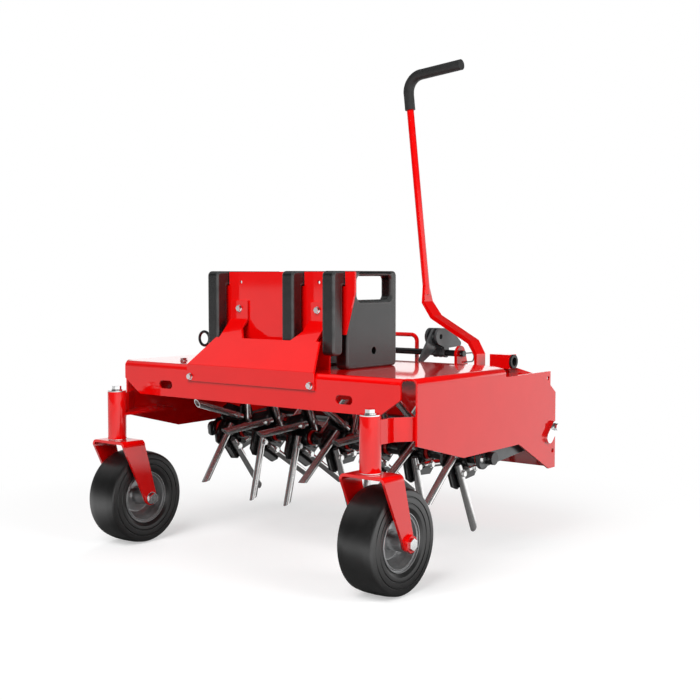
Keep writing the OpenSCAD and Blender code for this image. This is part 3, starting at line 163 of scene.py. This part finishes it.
def surface(name, tone, colours, rough, grain, sockets):
    """A material with a mottled colour, an uneven roughness and a fine grain.

    tone is the noise pattern that runs between the two colours. rough is a noise pattern followed
    by the lowest and the highest roughness. grain is a noise pattern followed by the height of
    the bump in metres and its strength. sockets are further constant values of the shader.
    """
    mat = bpy.data.materials.new(name)
    tree, out = new_tree(mat, "ShaderNodeOutputMaterial")
    shader = tree.nodes.new("ShaderNodeBsdfPrincipled")
    set_sockets(shader, sockets)
    tree.links.new(shader.outputs["BSDF"], out.inputs["Surface"])
    at = tree.nodes.new("ShaderNodeTexCoord").outputs["Object"]
    dark, light = colours
    mottled = ramp(tree, noise(tree, at, *tone), [(0.3, dark), (0.7, light)])
    tree.links.new(mottled, shader.inputs["Base Color"])
    *pattern, low, high = rough
    uneven = spread(tree, noise(tree, at, *pattern), low, high)
    tree.links.new(uneven, shader.inputs["Roughness"])
    *pattern, height, strength = grain
    bump(tree, shader, noise(tree, at, *pattern), height, strength)
    return mat


def powder_coat():
    """Glossy red powder coat with a faint orange peel."""
    return surface(
        "red_powder_coat",
        tone=(9.0, 4.0),
        colours=((0.79, 0.0012, 0.0012), (0.84, 0.002, 0.002)),
        rough=(40.0, 0.26, 0.36),
        grain=(500.0, 2.0, 0.00006, 0.25),
        sockets={"Specular IOR Level": 0.05, "Coat Weight": 1.0, "Coat Roughness": 0.05, "Coat IOR": 1.6},
    )


def cast_iron(name, colours):
    """Painted casting with a pebbled skin."""
    return surface(
        name,
        tone=(30.0, 5.0),
        colours=colours,
        rough=(120.0, 0.18, 0.28),
        grain=(420.0, 4.0, 0.6, 0.0008, 0.9),
        sockets={"IOR": 1.65},
    )


def black_casting():
    """Black paint on the faces of the weights."""
    return cast_iron("black_casting", ((0.007, 0.0075, 0.0075), (0.013, 0.014, 0.014)))


def painted_edge_highlight():
    """Lighter paint on the edges of the weights, a painted highlight along the cast edges."""
    return cast_iron("painted_edge_highlight", ((0.03, 0.032, 0.032), (0.06, 0.063, 0.063)))


def black_steel():
    """Satin black paint on steel."""
    return surface(
        "black_steel",
        tone=(25.0, 4.0),
        colours=((0.006, 0.006, 0.007), (0.012, 0.012, 0.013)),
        rough=(90.0, 0.12, 0.2),
        grain=(600.0, 2.0, 0.0001, 0.25),
        sockets={"IOR": 1.6},
    )


def grey_steel():
    """Dark grey painted steel."""
    return surface(
        "grey_steel",
        tone=(25.0, 4.0),
        colours=((0.045, 0.05, 0.052), (0.07, 0.075, 0.078)),
        rough=(80.0, 0.16, 0.26),
        grain=(500.0, 2.0, 0.0001, 0.25),
        sockets={"IOR": 1.6},
    )


def rim_paint():
    """Grey enamel on the pressed rims."""
    return surface(
        "rim_grey",
        tone=(40.0, 4.0),
        colours=((0.44, 0.445, 0.45), (0.54, 0.545, 0.55)),
        rough=(120.0, 0.25, 0.38),
        grain=(500.0, 2.0, 0.00008, 0.25),
        sockets={"Metallic": 0.85},
    )


def zinc():
    """Bright zinc plating with a faint spangle."""
    return surface(
        "zinc_steel",
        tone=(220.0, 3.0),
        colours=((0.80, 0.81, 0.82), (0.93, 0.93, 0.92)),
        rough=(300.0, 0.12, 0.22),
        grain=(1500.0, 2.0, 0.00004, 0.25),
        sockets={"Metallic": 1.0},
    )


def bright_steel():
    """Polished tine tube with faint marks."""
    return surface(
        "bright_steel",
        tone=(60.0, 4.0),
        colours=((0.80, 0.80, 0.80), (0.92, 0.92, 0.91)),
        rough=(260.0, 5.0, 0.12, 0.2),
        grain=(900.0, 2.0, 0.00003, 0.2),
        sockets={"Metallic": 0.85},
    )


def spring_wire():
    """Dark spring steel of the hairpin clips."""
    return surface(
        "spring_wire",
        tone=(300.0, 3.0),
        colours=((0.20, 0.205, 0.21), (0.30, 0.305, 0.31)),
        rough=(400.0, 0.22, 0.34),
        grain=(1500.0, 2.0, 0.00003, 0.25),
        sockets={"Metallic": 1.0},
    )


def rubber():
    """Black tyre rubber with a dull skin."""
    return surface(
        "tyre_rubber",
        tone=(35.0, 5.0),
        colours=(grey(0.007), grey(0.012)),
        rough=(90.0, 0.3, 0.4),
        grain=(700.0, 3.0, 0.0002, 0.3),
        sockets={"IOR": 1.8},
    )


def vinyl():
    """Dark grey grip vinyl with a fine grain."""
    return surface(
        "grip_vinyl",
        tone=(60.0, 4.0),
        colours=((0.016, 0.0165, 0.0165), (0.024, 0.0245, 0.0245)),
        rough=(200.0, 0.5, 0.62),
        grain=(1100.0, 3.0, 0.00015, 0.4),
        sockets={},
    )


def bushing():
    """Black moulded bushing plastic."""
    return surface(
        "bushing_plastic",
        tone=(80.0, 3.0),
        colours=(grey(0.01), grey(0.017)),
        rough=(200.0, 0.35, 0.5),
        grain=(1200.0, 2.0, 0.00006, 0.3),
        sockets={},
    )


MATERIALS = {
    "red_powder_coat": powder_coat(),
    "black_casting": black_casting(),
    "painted_edge_highlight": painted_edge_highlight(),
    "black_steel": black_steel(),
    "grey_steel": grey_steel(),
    "rim_grey": rim_paint(),
    "zinc_steel": zinc(),
    "bright_steel": bright_steel(),
    "tyre_rubber": rubber(),
    "grip_vinyl": vinyl(),
    "bushing_plastic": bushing(),
    "spring_wire": spring_wire(),
}


# Mesh helpers


def add_piece(name, bm, slot, body, replaced, smooth):
    """Turns a bmesh into a piece with its material, which rides on a body and may stand for CAD nodes.

    Edges under the smooth angle, in degrees, are shaded round.
    """
    mesh = bpy.data.meshes.new(name)
    bmesh.ops.recalc_face_normals(bm, faces=bm.faces)
    bm.to_mesh(mesh)
    bm.free()
    mesh.shade_smooth()
    mesh.set_sharp_from_angle(angle=math.radians(smooth))
    obj = bpy.data.objects.new(name, mesh)
    bpy.context.scene.collection.objects.link(obj)
    obj.data.materials.append(MATERIALS[slot])
    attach(obj, body)
    if replaced:
        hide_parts(*replaced)
    return obj


def fillet(points, steps):
    """A line through (x, r, radius) points with its corners rounded by arcs of that radius."""
    nearly_straight = math.radians(89)
    line = [Vector(points[0][:2])]
    for before, here, after in zip(points, points[1:], points[2:]):
        corner, radius = Vector(here[:2]), here[2]
        a = (Vector(before[:2]) - corner).normalized()
        b = (Vector(after[:2]) - corner).normalized()
        half = a.angle(b) / 2
        if radius == 0 or half > nearly_straight:
            line.append(corner)
            continue
        centre = corner + (a + b).normalized() * radius / math.sin(half)
        start = corner + a * radius / math.tan(half) - centre
        sweep = (corner + b * radius / math.tan(half) - centre).angle_signed(start)
        for k in range(steps + 1):
            line.append(centre + Matrix.Rotation(sweep * k / steps, 2) @ start)
    line.append(Vector(points[-1][:2]))
    return line


def mirrored_line(line):
    """The same line with X reversed, run backwards."""
    return [Vector((-x, r)) for x, r in reversed(line)]


def turn_angles(count):
    """Angles that share a full turn evenly."""
    return [2 * math.pi * k / count for k in range(count)]


def join_rings(bm, centre, rings):
    """Joins each ring of (x, r, angle) points about the X axis through the centre to the next one."""
    made = []
    for ring in rings:
        places = [(x, r * math.cos(angle), r * math.sin(angle)) for x, r, angle in ring]
        made.append([bm.verts.new((centre[0] + x, centre[1] + y, centre[2] + z)) for x, y, z in places])
    for ring, following in zip(made, made[1:] + made[:1]):
        for n in range(len(ring)):
            m = (n + 1) % len(ring)
            bm.faces.new((ring[n], ring[m], following[m], following[n]))


def lathe(bm, line, centre, turns=128):
    """Turns a closed line of (x, r) points about the X axis through the centre."""
    join_rings(bm, centre, [[(x, r, angle) for x, r in line] for angle in turn_angles(turns)])


def box_of(node):
    """Middle and size of a CAD node's box."""
    low, high = (Vector(corner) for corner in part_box(node))
    return (low + high) / 2, high - low


def welded(node):
    """A bmesh of a CAD node with its facets joined to flat faces."""
    bm = bmesh.new()
    bm.from_mesh(frame["nodes"][node].data)
    bmesh.ops.remove_doubles(bm, verts=bm.verts, dist=WELD)
    bmesh.ops.dissolve_limit(bm, angle_limit=FLAT, verts=bm.verts, edges=bm.edges)
    return bm


def edge_groups(edges):
    """Connected groups of edges, in the order of their first edges."""
    left, groups = dict.fromkeys(edges), []
    while left:
        first = next(iter(left))
        del left[first]
        group, todo = [], [first]
        while todo:
            edge = todo.pop()
            group.append(edge)
            for vert in edge.verts:
                for near in vert.link_edges:
                    if near in left:
                        del left[near]
                        todo.append(near)
        groups.append(group)
    return groups


def group_size(group):
    """Diagonal of the box around a group of edges."""
    points = [vert.co for edge in group for vert in edge.verts]
    low = Vector(min(point[axis] for point in points) for axis in range(3))
    high = Vector(max(point[axis] for point in points) for axis in range(3))
    return (high - low).length


# Wheels


# The two grooves of a sidewall, from the tread inwards: how far the outer edge, the floor and the
# inner edge lie behind the tyre's side, and the radii of the four corners as shares of the tyre's
TYRE_GROOVES = [
    (0.0, 2.4 * MM, 0.3 * MM, (0.85, 0.842, 0.83, 0.82)),
    (0.6 * MM, 3.0 * MM, 1.2 * MM, (0.728, 0.72, 0.708, 0.698)),
]


def tyre_wall(w, r):
    """Corners of the grooves on a sidewall of a tyre with half width w and radius r."""
    edge_round, floor_round = 0.6 * MM, 0.5 * MM
    rounds = (edge_round, floor_round, floor_round, edge_round)
    corners = []
    for outer, floor, inner, shares in TYRE_GROOVES:
        depths = (outer, floor, floor, inner)
        corners += [(w - depth, share * r, radius) for depth, share, radius in zip(depths, shares, rounds)]
    return corners


def build_tyre(side):
    """Smooth tyre with a crowned tread, round shoulders and two grooves on each sidewall."""
    node = "tyre_" + side
    centre, size = box_of(node)
    r, w = size.z / 2, size.x / 2
    rim = box_of("rim_" + side)[1].z / 2
    tread = [(0, r, 0), (0.55 * w, r - 0.8 * MM, 80 * MM), (w - 1 * MM, r - 4.5 * MM, 8 * MM)]
    bead = [(w - 2.2 * MM, 0.635 * r, 3 * MM), (w - 7 * MM, rim + 2.5 * MM, 2 * MM)]
    inside = [(w - 9 * MM, rim - 1 * MM, 0), (0.6 * w, rim - 7 * MM, 0)]
    line = fillet(tread + tyre_wall(w, r) + bead + inside, steps=6)
    bm = bmesh.new()
    lathe(bm, line + mirrored_line(line[1:]), centre)
    return add_piece("tyre_" + side + "_moulded", bm, "tyre_rubber", "wheel_" + side, [node], smooth=25)


def build_rim(side):
    """Pressed rim with rolled flanges, a deep dish, a web and a hub tube."""
    node = "rim_" + side
    centre, size = box_of(node)
    r, hub = size.z / 2, size.x / 2
    w, sheet = 50 * MM, 4 * MM
    bore, hub_r = 9.6 * MM, 22 * MM
    bend = 1 * MM
    tube = [(0, bore, 0), (hub, bore, 0.8 * MM), (hub, hub_r - 6 * MM, 0.8 * MM),
            (hub - 3 * MM, hub_r - 5 * MM, bend), (hub - 4 * MM, hub_r, 1.5 * MM)]
    web = [(9 * MM, hub_r + 2 * MM, 8 * MM), (7 * MM, 0.62 * r, 6 * MM)]
    dish = [(15 * MM, 0.76 * r, 7 * MM), (30 * MM, 0.79 * r, 6 * MM), (38 * MM, 0.85 * r, 4 * MM)]
    step = [(w - sheet, 0.87 * r, bend), (w - sheet, 0.9 * r, bend),
            (w - 7 * MM, 0.915 * r, bend), (w - 6 * MM, 0.94 * r, bend)]
    flange = [(w, 0.955 * r, bend), (w, r - 1 * MM, 1.2 * MM), (w - sheet, r, 1.2 * MM)]
    seat = [(w - sheet - 1 * MM, r - 6 * MM, bend), (0, r - 7.5 * MM, 0)]
    line = fillet(tube + web + dish + step + flange + seat, steps=5)
    bm = bmesh.new()
    lathe(bm, line + mirrored_line(line[1:-1]), centre)
    return add_piece("rim_" + side + "_pressed", bm, "rim_grey", "wheel_" + side, [node], smooth=30)


# Weights


# Bevels of the groups of edges that are smaller than a size: rod holes, hand holes, outlines
WEIGHT_BEVELS = [(40 * MM, 1.5 * MM), (250 * MM, 11 * MM), (math.inf, 6.5 * MM)]


def side_edges(bm, centre, size):
    """Sharp edges that lie in one of the two flat sides of a weight."""
    sharp, close = math.radians(30), 0.1 * MM
    return [edge for edge in bm.edges if edge.calc_face_angle(0) > sharp
            and all(abs(abs(vert.co.x - centre.x) - size.x / 2) < close for vert in edge.verts)]


def build_weight(node):
    """Suitcase weight with cast edges painted lighter as a highlight, and a wide bevel around its hand
    hole.
    """
    centre, size = box_of(node)
    bm = welded(node)
    for group in edge_groups(side_edges(bm, centre, size)):
        reach = group_size(group)
        width = next(bevel for limit, bevel in WEIGHT_BEVELS if reach < limit)
        # The bevels take material 1, lighter paint that stands for a painted highlight on the edges
        bmesh.ops.bevel(bm, geom=group, offset=width, segments=4, profile=0.5, affect="EDGES",
                        clamp_overlap=False, material=1)
    obj = add_piece(node + "_cast", bm, "black_casting", "frame", [node], smooth=45)
    # Second material: the painted highlight on the bevelled edges
    obj.data.materials.append(MATERIALS["painted_edge_highlight"])
    obj.modifiers.new("normals", "WEIGHTED_NORMAL").keep_sharp = True
    return obj


# Small pieces


def hex_ring(bm, centre, across, bore, length):
    """A hexagon nut about the X axis, with a round bore and chamfered corners, from the centre to +X."""
    angles = turn_angles(48)
    chamfer = 0.054 * across

    def hexagon(angle, reach):
        step = (angle + math.pi / 6) % (math.pi / 3) - math.pi / 6
        return min(reach, across / 2 / math.cos(step))

    outside = [(0, across), (length - chamfer, across), (length, across / 2)]
    rings = [[(x, hexagon(angle, reach), angle) for angle in angles] for x, reach in outside]
    rings += [[(x, bore, angle) for angle in angles] for x in (length, 0)]
    join_rings(bm, centre, rings)


def build_axle_nut():
    """Painted nut on the outer leg of the right fork, around the axle bolt's head."""
    axle = box_of("axle_right")[0]
    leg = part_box("fork_right")[1][0]
    bm = bmesh.new()
    hex_ring(bm, (leg, axle.y, axle.z), across=43 * MM, bore=15 * MM, length=9 * MM)
    return add_piece("axle_nut_right", bm, "red_powder_coat", "caster_right", (), smooth=30)


# CAD nodes


def soften(obj, width):
    """Joins CAD facets to flat faces and rounds sharp edges, by modifiers on the untouched mesh."""
    weld = obj.modifiers.new("weld", "WELD")
    weld.merge_threshold = WELD
    flat = obj.modifiers.new("flat", "DECIMATE")
    flat.decimate_type = "DISSOLVE"
    flat.angle_limit = FLAT
    edge = obj.modifiers.new("edge", "BEVEL")
    edge.limit_method = "ANGLE"
    edge.angle_limit = math.radians(25)
    edge.width = width
    edge.segments = 3
    edge.use_clamp_overlap = True
    edge.harden_normals = True


# Width of the rounded CAD edges in each slot; the other slots have meshes of their own or stay sharp
SOFT_EDGE = {
    "red_powder_coat": 1.2 * MM,
    "black_steel": 0.8 * MM,
    "grey_steel": 0.8 * MM,
    "zinc_steel": 0.9 * MM,
    "grip_vinyl": 4 * MM,
    "bushing_plastic": 1 * MM,
}
SLOTS = {row["node"]: row["material_slot"] for row in frame["record"]["subparts"]}
# The clips share the zinc slot, but their thin wire is darker than the plated bolts
LOOKS = dict(SLOTS, rod_clips="spring_wire")
for name, obj in frame["nodes"].items():
    obj.data.materials.clear()
    obj.data.materials.append(MATERIALS[LOOKS[name]])
    if SLOTS[name] in SOFT_EDGE:
        soften(obj, SOFT_EDGE[SLOTS[name]])
for side in ("right", "left"):
    build_tyre(side)
    build_rim(side)
for place in ("left", "middle", "right"):
    build_weight("weight_" + place)
build_axle_nut()


# Stage


# Place in metres, turn in degrees, lens and sensor width in millimetres and clipping in metres
CAMERA_AT = (2.20898, -2.65183, 0.81327)
CAMERA_TURN = (86.28, 0.0, 38.57)
CAMERA_LENS = 58.954
CAMERA_SENSOR = 36.0
CAMERA_CLIP = (0.05, 100.0)
# Place and edge length in metres and power in watts of each lamp, and the point that all of them face
LAMPS = {
    "key": ((0.6, -3.5, 3.2), 3.0, 208),
    "side": ((4.2, 0.2, 2.4), 2.6, 120),
    "back": ((-2.4, 4.0, 2.2), 3.0, 110),
}
LAMP_TARGET = (0, 0, 0.4)
# Brightness of the studio in mirrored light
MIRROR_GLARE = 1.25
# Turn about Z that lays X towards the front left, where the studio is darker
DARK_SIDE = math.radians(128.5)
# Half the floor's length, its grey, the glow that keeps its shadow pale, and its grey in bounced light
FLOOR_HALF = 60.0
FLOOR_GREY = 0.6
FLOOR_GLOW = 0.45
FLOOR_BOUNCE = 0.14
# To the camera the floor fades to plain white; its closeness is 0 at a radius of one over the scale
FLOOR_NEAR_SCALE = 0.55
FLOOR_NEAR = [(0.15, grey(0)), (0.65, grey(1))]
# In mirrored light it glares, but not under the object, and less towards the dark side
FLOOR_UNDER_SCALE = 0.9
FLOOR_UNDER = [(0.05, grey(0)), (0.35, grey(1))]
FLOOR_SIDE_SCALE = 0.1
FLOOR_SIDE = [(0.02, grey(1)), (0.3, grey(0.55))]
# The room is bright at the horizon, dim above it, and dimmer towards the dark side
ROOM_HEIGHT = [(0.1, grey(1)), (0.28, grey(0.04))]
ROOM_SIDE = [(0.2, grey(1)), (0.75, grey(0.1))]
# Soft lamp overhead: one over its radius, minus its direction times that, and its brightness
SOFTBOX_SCALE = 1.6
SOFTBOX_MOVE = (1.0, 0.08, -1.23)
SOFTBOX = [(0.0, grey(0)), (0.6, grey(0.4))]


def emission(tree, strength):
    """The node of a glowing shader."""
    node = tree.nodes.new("ShaderNodeEmission")
    set_sockets(node, {"Strength": strength})
    return node


def diffuse(tree, level):
    """A dull grey shader."""
    node = tree.nodes.new("ShaderNodeBsdfDiffuse")
    set_sockets(node, {"Color": (*grey(level), 1.0)})
    return node.outputs["BSDF"]


def floor_material():
    """Floor that is white where it is lit, keeps the object's shadow and bounces little light."""
    mat = bpy.data.materials.new("floor")
    tree, out = new_tree(mat, "ShaderNodeOutputMaterial")
    at = tree.nodes.new("ShaderNodeTexCoord").outputs["Object"]
    lit = added(tree, diffuse(tree, FLOOR_GREY), emission(tree, FLOOR_GLOW).outputs["Emission"])
    white = emission(tree, 1.0).outputs["Emission"]
    near = round_ramp(tree, stretched(tree, at, FLOOR_NEAR_SCALE), FLOOR_NEAR)
    shown = mixed(tree, near, white, lit)
    dim = diffuse(tree, FLOOR_BOUNCE)
    glare = emission(tree, MIRROR_GLARE)
    across = axis_ramp(tree, stretched(tree, at, FLOOR_SIDE_SCALE, DARK_SIDE), "X", FLOOR_SIDE)
    tree.links.new(across, glare.inputs["Color"])
    under = round_ramp(tree, stretched(tree, at, FLOOR_UNDER_SCALE), FLOOR_UNDER)
    mirrored = mixed(tree, under, glare.outputs["Emission"], dim)
    shine = seen(tree, mirrored, dim, ("Is Glossy Ray", "Is Transmission Ray"))
    tree.links.new(seen(tree, shown, shine, ("Is Camera Ray",)), out.inputs["Surface"])
    return mat


def build_floor():
    """Large flat floor under the wheels."""
    corners = [(x * FLOOR_HALF, y * FLOOR_HALF, 0) for x, y in ((-1, -1), (1, -1), (1, 1), (-1, 1))]
    mesh = bpy.data.meshes.new("floor")
    mesh.from_pydata(corners, [], [(0, 1, 2, 3)])
    floor = bpy.data.objects.new("floor", mesh)
    bpy.context.scene.collection.objects.link(floor)
    floor.data.materials.append(floor_material())


def build_world():
    """White to the camera; for light and reflections a white band at the horizon under a dim ceiling."""
    world = bpy.data.worlds.new("studio")
    bpy.context.scene.world = world
    tree, out = new_tree(world, "ShaderNodeOutputWorld")
    toward = tree.nodes.new("ShaderNodeTexCoord").outputs["Generated"]
    room = tree.nodes.new("ShaderNodeBackground")
    tree.links.new(axis_ramp(tree, toward, "Z", ROOM_HEIGHT), room.inputs["Color"])
    side = axis_ramp(tree, stretched(tree, toward, 1.0, DARK_SIDE), "X", ROOM_SIDE)
    tree.links.new(spread(tree, side, 0.0, MIRROR_GLARE), room.inputs["Strength"])
    soft = tree.nodes.new("ShaderNodeBackground")
    overhead = stretched(tree, toward, SOFTBOX_SCALE, 0.0, SOFTBOX_MOVE)
    tree.links.new(round_ramp(tree, overhead, SOFTBOX), soft.inputs["Color"])
    sky = added(tree, room.outputs["Background"], soft.outputs["Background"])
    white = tree.nodes.new("ShaderNodeBackground")
    set_sockets(white, {"Color": (*grey(1), 1.0), "Strength": 1.0})
    tree.links.new(seen(tree, white.outputs["Background"], sky, ("Is Camera Ray",)), out.inputs["Surface"])


def build_lamp(name, at, edge, power):
    """Square lamp that faces the machine and isn't mirrored in it."""
    data = bpy.data.lights.new(name, "AREA")
    data.shape = "SQUARE"
    data.size = edge
    data.energy = power
    lamp = bpy.data.objects.new(name, data)
    bpy.context.scene.collection.objects.link(lamp)
    lamp.location = at
    lamp.visible_glossy = False
    lamp.rotation_euler = (Vector(LAMP_TARGET) - Vector(at)).to_track_quat("-Z", "Y").to_euler()


def build_camera():
    """Camera at the place from which the photo was taken."""
    data = bpy.data.cameras.new("camera")
    data.lens = CAMERA_LENS
    data.sensor_width = CAMERA_SENSOR
    data.clip_start, data.clip_end = CAMERA_CLIP
    camera = bpy.data.objects.new("camera", data)
    bpy.context.scene.collection.objects.link(camera)
    camera.location = CAMERA_AT
    camera.rotation_euler = [math.radians(angle) for angle in CAMERA_TURN]
    bpy.context.scene.camera = camera


build_camera()
build_floor()
build_world()
for name, (at, edge, power) in LAMPS.items():
    build_lamp(name, at, edge, power)

bpy.context.scene.view_settings.view_transform = "Standard"
